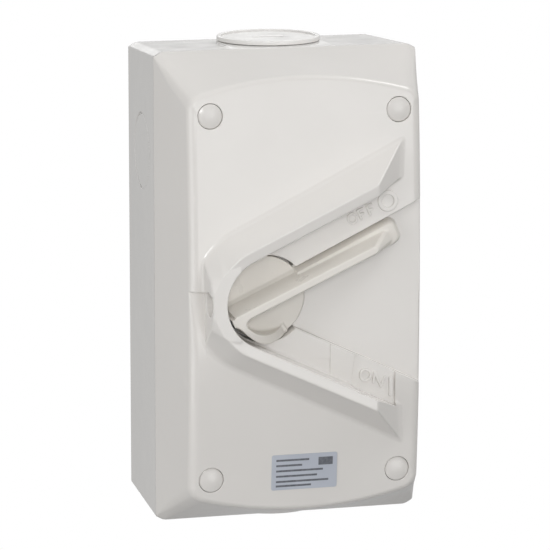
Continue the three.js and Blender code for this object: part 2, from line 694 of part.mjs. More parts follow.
// Rotor of one deck: a disc on the square spindle, with a slot across its face that lines
// up with the deck's terminals at ON.
function contactRotor(fan) {
  const disc = bar(ROTOR_RADIUS - 0.1, 0.4, DECK_THICKNESS - 0.4, 28);
  const half = SPINDLE_SIDE / 2 + GAP;
  const square = block([-half, half], [-1, DECK_THICKNESS + 1], [-half, half]);
  const slot = block([-5.3, 5.3], [BLADE_DEPTH - GAP, DECK_THICKNESS], [-20, 20]).rotate([0, -fan, 0]);
  const seat = bar(8.5, BLADE_DEPTH - GAP, DECK_THICKNESS, 16);
  return cut(disc, square, slot, seat);
}

function contactBridge(fan) {
  const end = BLADE_DEPTH + BLADE_THICKNESS;
  const half = SPINDLE_SIDE / 2 + GAP;
  const blank = block([-5, 5], [BLADE_DEPTH, end], [-BRIDGE_RADIUS - 1, BRIDGE_RADIUS + 1]);
  const strip = blank.intersect(bar(BRIDGE_RADIUS, BLADE_DEPTH, end, 40)).rotate([0, -fan, 0]);
  const ring = bar(7.9, BLADE_DEPTH, end, 16);
  return cut(join(strip, ring), block([-half, half], [0, 20], [-half, half]));
}

// Fixed contact: a flat strip from the chamber out to its terminal screw.
function fixedContact() {
  const start = BRIDGE_RADIUS + GAP;
  const strip = block([-4.5, 4.5], [BLADE_DEPTH, BLADE_DEPTH + BLADE_THICKNESS], [start, ARM_LENGTH - 2]);
  return cut(strip, bar(2.3, 0, 20, 12).translate([0, 0, TERMINAL_RADIUS]));
}

// A screw from depth start, with a slotted head of its own radius and height on top.
function slottedScrew(start, head, headRadius, headHeight) {
  const top = head + headHeight;
  const profile = [
    [0, start], [SHANK_RADIUS, start], [SHANK_RADIUS, head],
    [headRadius, head], [headRadius, top - 0.5], [headRadius - 0.5, top], [0, top],
  ];
  const slot = block([-headRadius - 1, headRadius + 1], [top - 1, top + 1], [-0.45, 0.45]);
  return cut(turned(profile, 10), slot);
}

const terminalScrew = () => slottedScrew(3, BLADE_DEPTH + BLADE_THICKNESS + 0.2, 3.8, 2.4);
const mountScrew = () => slottedScrew(2.2, PLATE_DEPTH + PLATE_THICKNESS - 2, 4, 1.7);
const tieScrew = () => slottedScrew(PLATE_DEPTH + 0.2, DETENT_DEPTH + DETENT_THICKNESS + 0.2, 3.8, 2.4);

// Housing in front of the decks, with a chamber for the detent wheel and two side bores
// for its plungers.
function detentHousing() {
  const end = DETENT_THICKNESS;
  const body = block([-BODY_WIDTH / 2, BODY_WIDTH / 2], [0, end], [-27, 27]);
  const wide = DETENT_RADIUS + 0.9;
  const chamber = turned([[0, -1], [wide, -1], [wide, 7.6], [6.6, 7.6], [6.6, end + 1], [0, end + 1]], 28);
  const guide = bar(PLUNGER_RADIUS + GAP, -28, 28, 14).rotate([0, 0, 90]).translate([0, -4, 0]);
  return cut(body, chamber, guide, ...tieBore(-1, end + 1));
}

// Detent wheel: a disc with a notch for each plunger at OFF and at ON.
function detentWheel() {
  const half = SPINDLE_SIDE / 2 + GAP;
  const notches = [0, 180].flatMap((side) => [0, TRAVEL].map((turn) => {
    const [x, z] = polar(DETENT_RADIUS + 1.6, side + turn);
    return bar(2.6, -1, 9, 10).translate([x, 0, z]);
  }));
  const square = block([-half, half], [0, 9], [-half, half]).rotate([0, -TRAVEL, 0]);
  return cut(bar(DETENT_RADIUS, 0.8, 7, 32), square, ...notches);
}

// Round-nosed plunger, along +X from the wheel's rim.
function detentPlunger() {
  const nose = DETENT_RADIUS + GAP;
  const profile = [
    [0, nose], [1.2, nose + 0.2], [2.2, nose + 0.9],
    [PLUNGER_RADIUS, nose + 2.6], [PLUNGER_RADIUS, nose + 6.6], [0, nose + 6.6],
  ];
  return turned(profile, 14).rotate([0, 0, 90]);
}

class CoilCurve extends THREE.Curve {
  constructor(radius, start, end, turns) {
    super();
    Object.assign(this, { radius, start, end, turns });
  }

  getPoint(share, target = new THREE.Vector3()) {
    const angle = 2 * Math.PI * this.turns * share;
    return target.set(
      mix(this.start, this.end, share),
      this.radius * Math.cos(angle),
      this.radius * Math.sin(angle),
    );
  }
}

// Coil spring behind a plunger, along +X.
function detentSpring() {
  const wire = new THREE.Shape();
  wire.absarc(0, 0, 0.4, 0, 2 * Math.PI, false);
  const extrudePath = new CoilCurve(2, 22.3, 27.6, 4);
  const options = { extrudePath, steps: 36, curveSegments: 3, bevelEnabled: false };
  return solid(new THREE.ExtrudeGeometry(wire, options));
}

function driveSpindle() {
  const half = SPINDLE_SIDE / 2;
  const plateEnd = PLATE_DEPTH + PLATE_THICKNESS;
  const square = block([-half, half], [plateEnd + 0.3, SPINDLE_DEPTH], [-half, half]);
  return join(square, bar(4.6, PLATE_DEPTH + 0.4, plateEnd + 0.6, 24));
}

// ---------- Earth bar ----------

function earthBar() {
  const half = EARTH_BAR_SIDE / 2;
  const end = EARTH_DEPTH + EARTH_BAR_SIDE;
  const blank = block([-26, 26], [EARTH_DEPTH, end], [EARTH_BAR_Z - half, EARTH_BAR_Z + half]);
  const wireHole = upright([[0, -6], [2.1, -6], [2.1, 6], [0, 6]], 12);
  const wireHoles = EARTH_SCREW_X.map((x) => wireHole.translate([x, -EARTH_DEPTH - 3.4, EARTH_BAR_Z]));
  const screwHole = bar(SHANK_RADIUS + GAP, EARTH_DEPTH + 4, end + 2, 12);
  const screwHoles = EARTH_SCREW_X.map((x) => screwHole.translate([x, 0, EARTH_BAR_Z]));
  return cut(blank, ...wireHoles, ...screwHoles);
}

const earthScrew = () => slottedScrew(EARTH_DEPTH + 5.6, EARTH_DEPTH + EARTH_BAR_SIDE + 0.2, 3.4, 2);

// ---------- Assembly ----------

const isolator = new THREE.Group();

function add(parent, name, shape, material, place = {}) {
  const mesh = new THREE.Mesh(geometryOf(shape), material);
  mesh.name = name;
  mesh.position.set(place.x ?? 0, -(place.depth ?? 0), place.z ?? 0);
  mesh.rotation.y = radians(-(place.turn ?? 0));
  parent.add(mesh);
}

function addEnclosure() {
  add(isolator, 'base_box', baseBox(), HOUSING);
  add(isolator, 'front_cover', frontCover(), HOUSING);
  add(isolator, 'cover_gasket', coverGasket(), RUBBER);
  add(isolator, 'rating_label', ratingLabel(), LABEL_FILM);
  for (const [place, side] of [['top', 1], ['bottom', -1]]) {
    const mirrored = (part) => (side > 0 ? part : part.mirror([0, 0, 1]));
    add(isolator, `conduit_plug_${place}`, mirrored(conduitPlug()), HOUSING);
    add(isolator, `plug_ring_${place}`, mirrored(plugRing()), RUBBER);
  }
  for (const [row, z] of [['top', SCREW_Z], ['bottom', -SCREW_Z]]) {
    for (const [column, x] of [['left', -SCREW_X], ['right', SCREW_X]]) {
      add(isolator, `cover_screw_${row}_${column}`, coverScrew(), STEEL, { x, z });
      add(isolator, `screw_cap_${row}_${column}`, screwCap(), CAP_PLASTIC, { x, z });
    }
  }
}

function addLever() {
  const axis = new THREE.Group();
  axis.position.x = AXIS_X;
  isolator.add(axis);
  add(axis, 'operating_lever', operatingLever(), LEVER_PLASTIC, { turn: OFF_ANGLE });
  add(axis, 'retaining_clip', retainingClip(), STEEL, { turn: OFF_ANGLE });
  add(axis, 'shaft_seal', shaftSeal(), RUBBER);
}

function addMechanism() {
  const axis = new THREE.Group();
  axis.position.x = AXIS_X;
  isolator.add(axis);
  add(axis, 'switch_back_plate', backPlate(), DARK_PLASTIC);
  add(axis, 'drive_spindle', driveSpindle(), STEEL, { turn: TRAVEL });
  for (const [index, fan] of [-DECK_FAN, 0, DECK_FAN].entries()) {
    const number = index + 1;
    const depth = DECK_DEPTH + index * DECK_PITCH;
    add(axis, `contact_deck_${number}`, contactDeck(fan), DARK_PLASTIC, { depth });
    add(axis, `contact_rotor_${number}`, contactRotor(fan), GREY_PLASTIC, { depth, turn: TRAVEL });
    add(axis, `contact_bridge_${number}`, contactBridge(fan), COPPER, { depth, turn: TRAVEL });
    for (const [end, halfTurn] of [['line', 0], ['load', 180]]) {
      const arm = new THREE.Group();
      arm.position.y = -depth;
      arm.rotation.y = radians(-fan - halfTurn);
      axis.add(arm);
      add(arm, `fixed_contact_${end}_${number}`, fixedContact(), COPPER);
      add(arm, `terminal_screw_${end}_${number}`, terminalScrew(), STEEL, { z: TERMINAL_RADIUS });
    }
  }
  add(axis, 'detent_housing', detentHousing(), DARK_PLASTIC, { depth: DETENT_DEPTH });
  add(axis, 'detent_wheel', detentWheel(), GREY_PLASTIC, { depth: DETENT_DEPTH });
  for (const [side, turn] of [['right', 0], ['left', 180]]) {
    add(axis, `detent_plunger_${side}`, detentPlunger(), BRASS, { depth: DETENT_DEPTH + 4, turn });
    add(axis, `detent_spring_${side}`, detentSpring(), STEEL, { depth: DETENT_DEPTH + 4, turn });
  }
  for (const [place, z] of [['top', MOUNT_SCREW_Z], ['bottom', -MOUNT_SCREW_Z]]) {
    add(axis, `mounting_screw_${place}`, mountScrew(), STEEL, { z });
  }
  for (const [index, [x, z]] of TIE_POINTS.entries()) {
    add(axis, `tie_screw_${index + 1}`, tieScrew(), STEEL, { x, z });
  }
}

function addEarthBar() {
  add(isolator, 'earth_bar', earthBar(), BRASS);
  for (const [index, x] of EARTH_SCREW_X.entries()) {
    add(isolator, `earth_screw_${index + 1}`, earthScrew(), STEEL, { x, z: EARTH_BAR_Z });
  }
}

addEnclosure();
addLever();
addMechanism();
addEarthBar();

export default isolator;
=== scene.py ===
"""Looks for the rotary isolator: moulded plastic skins, markings, materials, light and camera.

The frame has the front towards -Y and +Z up. Shapes are written in millimetres, with
"depth" for the distance in front of the wall, so depth d lies at y = -d / 1000 metres.
Each moulded piece is a distance field: negative inside, with rounded edges and fillets.
skin() meshes the surface where the field is zero.
"""

import json
import math

import bpy
import numpy as np
from mathutils import Matrix, Vector

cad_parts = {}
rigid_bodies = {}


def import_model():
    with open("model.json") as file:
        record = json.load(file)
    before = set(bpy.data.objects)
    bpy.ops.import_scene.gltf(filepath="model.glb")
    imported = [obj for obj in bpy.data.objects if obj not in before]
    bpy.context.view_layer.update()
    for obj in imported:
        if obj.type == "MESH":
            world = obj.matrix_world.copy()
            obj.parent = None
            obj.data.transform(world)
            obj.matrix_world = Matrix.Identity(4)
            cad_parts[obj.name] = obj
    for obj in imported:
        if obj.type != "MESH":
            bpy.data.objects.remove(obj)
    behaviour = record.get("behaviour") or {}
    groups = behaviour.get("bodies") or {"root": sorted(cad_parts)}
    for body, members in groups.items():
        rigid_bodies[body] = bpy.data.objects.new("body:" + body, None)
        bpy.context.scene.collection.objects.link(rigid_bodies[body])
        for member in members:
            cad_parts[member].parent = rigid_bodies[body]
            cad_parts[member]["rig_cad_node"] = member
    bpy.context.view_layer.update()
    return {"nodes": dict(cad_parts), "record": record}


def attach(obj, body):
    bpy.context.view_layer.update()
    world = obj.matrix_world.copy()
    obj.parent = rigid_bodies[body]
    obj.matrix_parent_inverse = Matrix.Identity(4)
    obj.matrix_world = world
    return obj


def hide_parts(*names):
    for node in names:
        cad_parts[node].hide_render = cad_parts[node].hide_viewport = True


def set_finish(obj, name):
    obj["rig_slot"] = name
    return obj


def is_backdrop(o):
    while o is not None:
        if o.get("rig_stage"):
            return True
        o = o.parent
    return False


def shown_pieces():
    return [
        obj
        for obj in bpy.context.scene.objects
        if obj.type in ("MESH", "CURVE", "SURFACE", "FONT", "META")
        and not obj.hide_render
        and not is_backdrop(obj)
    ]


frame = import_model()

# ---------- Sizes, in millimetres and degrees ----------

MM = 0.001

# Enclosure. Pairs are the width and height of a section, the x and z legs of a chamfer, or
# the x and z of a corner screw. KNOCKOUT is (depth, z). FRONT_CROWN is in 1/mm.
BACK = (108.7, 193.7)
RIM = (113.0, 198.4)
RIM_DEPTH = 54.5
SEAM = 0.04
CORNER = (3.3, 1.8)
WALL = 3.6
FRONT_DEPTH = 88.2
FRONT_CROWN = 3.83 / 83**2
FRONT = (99.3, 168.8)
FRONT_CORNER = (2.6, 2.4)
FRONT_RISE = 6.9
SIDE_DROP = 2.75
EDGE_DROP = 1.3
CAVITY_DEPTH = 80.2
SCREW = (40.1, 75.9)
CAP_RADIUS = 5.1
CONDUIT_DEPTH = 27.5
CONDUIT_RADIUS = 16.2
FLANGE_RADIUS = 21.8
PAD_HEIGHT = 99.2
KNOCKOUT = (29.5, 54.4)

# Lever pocket, knob and the guard round them. Slopes are millimetres per millimetre behind
# the guard's crest.
AXIS_X = -17.5
OFF_ANGLE = 24.5
GUARD_ANGLE = 25.2
GUARD_DEPTH = 100.5
POCKET_DEPTH = 83.4
POCKET_ANGLE = 25.7
KNOB_RADIUS = 17.3
KNOB_BORE = 18.2
KNOB_FACE = 84.3
KNOB_BACK = 79.4
GUARD_INNER = 19.4
GUARD_OUTER = 23.9
GUARD_SLOPE = 0.583
GUARD_END = 26.9
GUARD_END_SLOPE = 0.98
GUARD_LEFT = -43.5
BOSS_LEFT = -31.4
PLATE_DEPTH = 86.1

# Lever, in its own frame: crest and tail, the tongue and border under them, the hook round
# the disc (with its angles from +x), and the hub with its square socket.
LEVER_DEPTH = 98.5
LEVER_LENGTH = 63.0
CREST_HALF = 1.6
CREST_END = 49.5
TAIL_RADIUS = 16.7
TONGUE_HALF = 3.9
TONGUE_DEPTH = 88.4
BORDER_HALF = 4.5
BORDER_LENGTH = 16.9
HOOK_RADIUS = 14.25
HOOK_START = 176
HOOK_END = 280
HUB_RADIUS = 8
HUB_BACK = 60.5
SOCKET_HALF = 4.4

# Camera: focal length and frame in pixels, turn and tilt in degrees, place in metres.
FOCAL_PIXELS = 3799
FRAME_PIXELS = 550
CAMERA_TURN = 15.41
CAMERA_TILT = 10.58
CAMERA_PLACE = (-0.4209, -1.5654, 0.2960)


# ---------- Distance-field helpers ----------

def both(a, b, r=0.0):
    """Inside both shapes, with the edge between them rounded by r."""
    edge = np.hypot(np.maximum(a + r, 0), np.maximum(b + r, 0))
    return np.minimum(np.maximum(a, b), -r) + edge


def either(a, b, r=0.0):
    """Inside either shape, with a fillet of radius r between them."""
    return -both(-a, -b, r)


def without(a, b, r=0.0):
    """Inside a and outside b, with the cut's edge rounded by r."""
    return both(a, -b, r)


def mix(a, b, t):
    """From a at t = 0 to b at t = 1."""
    return a + (b - a) * t


def ease(x, low, high):
    """From 0 at low to 1 at high, with smooth ends."""
    t = np.clip((x - low) / (high - low), 0, 1)
    return t * t * (3 - 2 * t)


def slant(rise, run):
    """Cosine of a slope, which turns a height difference into a distance."""
    return run / math.hypot(rise, run)


def tilted(x, z, degrees, about=AXIS_X):
    """Coordinates along and across a line at this angle through (about, 0)."""
    c, s = math.cos(math.radians(degrees)), math.sin(math.radians(degrees))
    dx = x - about
    return dx * c + z * s, -dx * s + z * c


def stroke(x, z, start, end, width):
    """Distance to a straight pen stroke with round ends."""
    px, pz = x - start[0], z - start[1]
    vx, vz = end[0] - start[0], end[1] - start[1]
    t = np.clip((px * vx + pz * vz) / (vx * vx + vz * vz), 0, 1)
    return np.hypot(px - vx * t, pz - vz * t) - width / 2


# ---------- Meshing ----------

def axis_grid(low, high, step, fine=()):
    """Coordinates from low to high, closer together inside each (start, end, step) of fine."""
    points = [low]
    while points[-1] < high:
        here = points[-1]
        size = min([step] + [s for a, b, s in fine if a <= here + 1e-6 and here < b])
        points.append(here + size)
    return np.array(points, np.float32)


def gradient(field, points, step=0.02):
    """The field's slope at each point, by central differences."""
    x, d, z = points.T
    columns = []
    for axis in range(3):
        shift = np.zeros(3)
        shift[axis] = step
        ahead = field(x + shift[0], d + shift[1], z + shift[2])
        behind = field(x - shift[0], d - shift[1], z - shift[2])
        columns.append((ahead - behind) / (2 * step))
    return np.stack(columns, 1)


def surface_net(field, xs, ds, zs):
    """Vertices (x, depth, z) and quads of the field's zero surface on a grid."""
    shape = (len(xs), len(ds), len(zs))
    values = np.broadcast_to(field(xs[:, None, None], ds[None, :, None], zs[None, None, :]), shape)
    values = np.ascontiguousarray(values, np.float32)
    inside = values < 0
    some, every = None, None
    for i in (0, 1):
        for j in (0, 1):
            for k in (0, 1):
                part = inside[i:shape[0] - 1 + i, j:shape[1] - 1 + j, k:shape[2] - 1 + k]
                some = part.copy() if some is None else some | part
                every = part.copy() if every is None else every & part
    cells = np.argwhere(some & ~every)
    number = np.full([n - 1 for n in shape], -1, np.int32)
    number[tuple(cells.T)] = np.arange(len(cells))
    total = np.zeros((len(cells), 3))
    count = np.zeros(len(cells))
    coords = (xs, ds, zs)
    for axis in range(3):
        others = [a for a in range(3) if a != axis]
        for a in (0, 1):
            for b in (0, 1):
                start = cells.copy()
                start[:, others[0]] += a
                start[:, others[1]] += b
                end = start.copy()
                end[:, axis] += 1
                v0, v1 = values[tuple(start.T)], values[tuple(end.T)]
                crossed = (v0 < 0) != (v1 < 0)
                share = np.where(crossed, v0 / np.where(crossed, v0 - v1, 1), 0)
                at = np.stack([coords[n][start[:, n]] for n in range(3)], 1).astype(float)
                at[:, axis] += share * (coords[axis][end[:, axis]] - coords[axis][start[:, axis]])
                total += at * crossed[:, None]
                count += crossed
    vertices = total / count[:, None]
    quads = []
    for axis in range(3):
        others = [a for a in range(3) if a != axis]
        low = [slice(1, -1)] * 3
        low[axis] = slice(0, -1)
        high = list(low)
        high[axis] = slice(1, None)
        first, second = inside[tuple(low)], inside[tuple(high)]
        for flip in (False, True):
            edges = np.argwhere(first & ~second if not flip else ~first & second)
            if not len(edges):
                continue
            base = edges.copy()
            base[:, others] += 1
            ring = []
            for a, b in ((-1, -1), (0, -1), (0, 0), (-1, 0)):
                cell = base.copy()
                cell[:, others[0]] += a
                cell[:, others[1]] += b
                ring.append(number[tuple(cell.T)])
            order = ring[::-1] if (axis == 1) == flip else ring
            quads.append(np.stack(order, 1))
    return vertices, np.concatenate(quads)


def settle(field, points, rounds=2):
    """Moves points onto the field's zero surface."""
    for _ in range(rounds):
        slope = gradient(field, points)
        value = field(*points.T)
        length = np.maximum((slope**2).sum(1), 0.05)
        move = slope * (value / length)[:, None]
        size = np.linalg.norm(move, axis=1, keepdims=True)
        points = points - move * np.minimum(1, 0.3 / np.maximum(size, 1e-9))
    return points


def skin(name, field, xs, ds, zs, body, slot, replaced, faces=None, turn=None, walls=None):
    """A closed, smooth-shaded piece on the zero surface of a field.

    faces caps the number of triangles. turn is a matrix from the field's millimetre
    frame (x, y = -depth, z) to the row's. walls is the field of the outer walls alone:
    next to the seam the shading follows it, so two flush pieces show no groove."""
    vertices, quads = surface_net(field, xs, ds, zs)
    vertices = settle(field, vertices)
    mesh = bpy.data.meshes.new(name)
    mesh.from_pydata([], [], [])
    mesh.vertices.add(len(vertices))
    mesh.vertices.foreach_set("co", to_row(vertices).ravel())
    mesh.loops.add(quads.size)
    mesh.loops.foreach_set("vertex_index", quads.ravel())
    mesh.polygons.add(len(quads))
    mesh.polygons.foreach_set("loop_start", np.arange(len(quads)) * 4)
    mesh.update(calc_edges=True)
    mesh.validate()
    piece = bpy.data.objects.new(name, mesh)
    bpy.context.scene.collection.objects.link(piece)
    if faces and 2 * len(quads) > faces:
        thin(piece, faces / (2 * len(quads)))
        mesh = piece.data
    co = np.zeros(len(mesh.vertices) * 3)
    mesh.vertices.foreach_get("co", co)
    points = co.reshape(-1, 3) / MM * (1, -1, 1)
    normals = gradient(field, points, 0.06)
    if walls is not None:
        at_seam = np.abs(points[:, 1] - RIM_DEPTH) < 0.5
        near = points[at_seam]
        outer = np.abs(walls(*near.T)) < 0.25
        chosen = np.flatnonzero(at_seam)[outer]
        normals[chosen] = gradient(walls, points[chosen], 0.06)
    normals = normals * (1, -1, 1)
    normals /= np.maximum(np.linalg.norm(normals, axis=1, keepdims=True), 1e-9)
    mesh.polygons.foreach_set("use_smooth", np.ones(len(mesh.polygons), bool))
    mesh.normals_split_custom_set_from_vertices(normals)
    if turn is not None:
        piece.data.transform(turn)
    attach(piece, body)
    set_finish(piece, slot)
    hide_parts(*replaced)
    return piece


def to_row(points):
    """Millimetre (x, depth, z) points as metres in the row's frame."""
    return np.stack([points[:, 0], -points[:, 1], points[:, 2]], 1) * MM


def thin(piece, ratio):
    """Merges the small faces of flat areas."""
    modifier = piece.modifiers.new("thin", "DECIMATE")
    modifier.ratio = ratio
    graph = bpy.context.evaluated_depsgraph_get()
    lighter = bpy.data.meshes.new_from_object(piece.evaluated_get(graph))
    piece.modifiers.clear()
    lighter.name = piece.name
    piece.data = lighter


# ---------- Enclosure ----------

def box_walls(x, z, width, height, corner, rounding):
    """The four sides of an enclosure section with chamfered corners."""
    side = np.abs(x) - width
    top = np.abs(z) - height
    a, b = corner
    chamfer = (b * side + a * top + a * b) / np.hypot(a, b)
    return both(both(side, chamfer, rounding), top, rounding)


def base_size(d):
    """Half width and half height of the base at a depth."""
    share = d / RIM_DEPTH
    return mix(BACK[0], RIM[0], share) / 2, mix(BACK[1], RIM[1], share) / 2


def base_outside(x, d, z):
    """The base's four outer walls alone."""
    width, height = base_size(d)
    return box_walls(x, z, width, height, CORNER, 0.35)


def base_field(x, d, z):
    """The base box: hollow, with conduit hubs, screw posts, wall holes and knock-out rings."""
    width, height = base_size(d)
    body = both(base_outside(x, d, z), -d, 0.8)
    body = both(body, d - RIM_DEPTH, 0.03)
    inner = box_walls(x, z, width - WALL, height - WALL, (2.4, 2.4), 1.0)
    body = without(body, np.maximum(inner, WALL - d), 0.2)
    pad_side = np.where(d < CONDUIT_DEPTH, np.hypot(x, d - CONDUIT_DEPTH), np.abs(x)) - FLANGE_RADIUS
    az = np.abs(z)
    pad = both(pad_side, az - PAD_HEIGHT, 0.3)
    pad = np.maximum(np.maximum(pad, 96 - az), d - RIM_DEPTH)
    body = either(body, pad, 0.4)
    around = np.hypot(x, d - CONDUIT_DEPTH)
    hub = np.maximum(np.maximum(around - 20, 88 - az), az - 95)
    body = either(body, hub, 0.3)
    body = without(body, np.maximum(around - CONDUIT_RADIUS, 80 - az), 0.25)
    for px in (-SCREW[0], SCREW[0]):
        for pz in (-SCREW[1], SCREW[1]):
            post = np.maximum(np.hypot(x - px, z - pz) - 7, d - RIM_DEPTH)
            rib = np.maximum(np.abs(z - pz) - 1.6, d - 50)
            rib = np.maximum(rib, np.maximum(abs(px) - x * np.sign(px), x * np.sign(px) - 52))
            post = np.maximum(np.minimum(post, rib), 2.6 - d)
            body = np.minimum(body, post)
            body = np.maximum(body, -np.maximum(np.hypot(x - px, z - pz) - 2.8, 24 - d))
    for px in (-38, 38):
        for pz in (-56, 56):
            body = without(body, np.hypot(x - px, z - pz) - 2.75 + 0 * d, 0.3)
    ring = np.abs(np.hypot(d - KNOCKOUT[0], z - KNOCKOUT[1]) - 15.85) - 0.4
    groove = 0.1 + 0.5 * ease(30 - d, -2, 6)
    ring = np.maximum(ring, (width - groove) - np.abs(x))
    body = without(body, ring, 0.12)
    groove_out = box_walls(x, z, RIM[0] / 2 - 1, RIM[1] / 2 - 1, CORNER, 0.2)
    groove_in = box_walls(x, z, RIM[0] / 2 - 2.6, RIM[1] / 2 - 2.6, CORNER, 0.2)
    groove = np.maximum(np.maximum(groove_out, -groove_in), RIM_DEPTH - 1.5 - d)
    return np.maximum(body, -groove)


def front_depth(z):
    """Depth of the slightly crowned front face."""
    return FRONT_DEPTH - FRONT_CROWN * z * z


def cover_walls(x, d, z):
    """The cover's tapered sides and arched top and bottom, with its crowned front."""
    start = RIM_DEPTH + SEAM
    face = front_depth(z)
    width = mix(RIM[0], FRONT[0], (d - start) / (face - SIDE_DROP - start)) / 2
    arch = FRONT[1] / 2 + FRONT_RISE * (1 - (x / 47.05) ** 2)
    arch_depth = front_depth(arch) - EDGE_DROP
    share = (d - start) / (arch_depth - start)
    height = mix(RIM[1] / 2, arch, share)
    side = (np.abs(x) - width) * slant(6.85, 30.8)
    top = (np.abs(z) - height) * slant(11, 29)
    a, b = mix(CORNER[0], FRONT_CORNER[0], share), mix(CORNER[1], FRONT_CORNER[1], share)
    chamfer = (b * side + a * top + a * b) / np.hypot(a, b)
    round_corner = 0.35 + 1.6 * ease(share, 0.0, 0.5)
    walls = both(both(side, chamfer, round_corner), top, round_corner)
    rounding = mix(1.5, 3.2, np.clip((side - top) / 8 + 0.5, 0, 1))
    return both(walls, d - face, rounding)


def cover_outside(x, d, z):
    """The cover's solid block, down to its edge at the seam."""
    return both(cover_walls(x, d, z), RIM_DEPTH + SEAM - d, 0.03)


def guard_reach(x, z):
    """Distance from the lever's axis, or from the arm's middle line once past the arc."""
    along, across = tilted(x, np.abs(z), GUARD_ANGLE)
    return np.where(along > 0, across, np.hypot(x - AXIS_X, z))


def through(a, b, c):
    """A plane through three (x, depth, z) points, as (normal, offset)."""
    a, b, c = (np.array(p, float) for p in (a, b, c))
    normal = np.cross(b - a, c - a)
    normal /= np.linalg.norm(normal)
    if normal @ (a - np.array([-30, 80, 0])) < 0:
        normal = -normal
    return normal, normal @ a


# Facets of the boss at the guard's point, mirrored below the middle.
BOSS_PLANES = [
    through((-38.6, 100.5, 12.9), (-43.9, 95.8, 15.4), (-43.4, 100.5, 4.3)),
    through((-38.6, 100.5, 12.9), (-43.9, 95.8, 15.4), (-35.2, 84, 27.2)),
    through((-31.4, 100.5, 19.6), (-38.6, 100.5, 12.9), (-35.2, 84, 27.2)),
]


def guard_field(x, d, z):
    """The raised V round the lever, with its flat-ended boss at the point."""
    below = GUARD_DEPTH - d
    reach = guard_reach(x, z)
    outer = (reach - GUARD_OUTER - GUARD_SLOPE * below) * slant(GUARD_SLOPE, 1)
    end = (x - GUARD_END - GUARD_END_SLOPE * below) * slant(GUARD_END_SLOPE, 1)
    vertex = (GUARD_LEFT - 0.036 * below) - x
    crest = -below - 0.12 * np.clip(reach - GUARD_OUTER, -5, 0)
    arms = both(both(outer, end, 0.6), crest, 0.45)
    az = np.abs(z)
    boss = x - (BOSS_LEFT - 0.23 * below)
    for normal, offset in BOSS_PLANES:
        boss = both(boss, normal[0] * x + normal[1] * d + normal[2] * az - offset, 0.4)
    boss = both(boss, -below, 0.45)
    whole = either(arms, boss, 1.2)
    soft = 0.5 + 1.0 * (1 - ease(az, 2.0, 12.0))
    whole = both(whole, vertex, soft)
    inner = GUARD_INNER - 0.051 * below - reach
    whole = np.maximum(whole, d - GUARD_DEPTH)
    whole = both(whole, inner, 0.45)
    return np.maximum(whole, 80 - d)


def cover_marks(x, d, z):
    """Raised OFF, O, ON and I, as (distance in the plane, face depth) pairs."""
    u, v = tilted(x, z - 30.8, 23.5, 23.0)
    tall = 4.6
    off = [np.abs(np.hypot((u + 2.95) / 0.9, v - 2.3) - 2.0) - 0.5]
    for left in (0.45, 4.65):
        off.append(stroke(u, v, (left, 0.3), (left, tall - 0.3), 1.0))
        off.append(stroke(u, v, (left, tall - 0.3), (left + 2.0, tall - 0.3), 0.95))
        off.append(stroke(u, v, (left, 2.3), (left + 1.6, 2.3), 0.95))
    ring = np.abs(np.hypot(x - 34.7, z - 38.4) - 3.45) - 0.85
    on = [np.abs(np.hypot((x - 25.7) / 0.94, z + 34.8) - 2.35) - 0.5]
    on.append(stroke(x, z, (29.7, -34.0), (29.2, -38.0), 1.0))
    on.append(stroke(x, z, (29.7, -34.0), (32.5, -39.9), 1.0))
    on.append(stroke(x, z, (32.5, -39.9), (34.2, -36.0), 1.0))
    on.append(stroke(x, z, (36.8, -43.5), (36.8, -36.7), 1.9))
    return [(off, front_depth(z)), ([ring], front_depth(z)), (on, 86.35)]


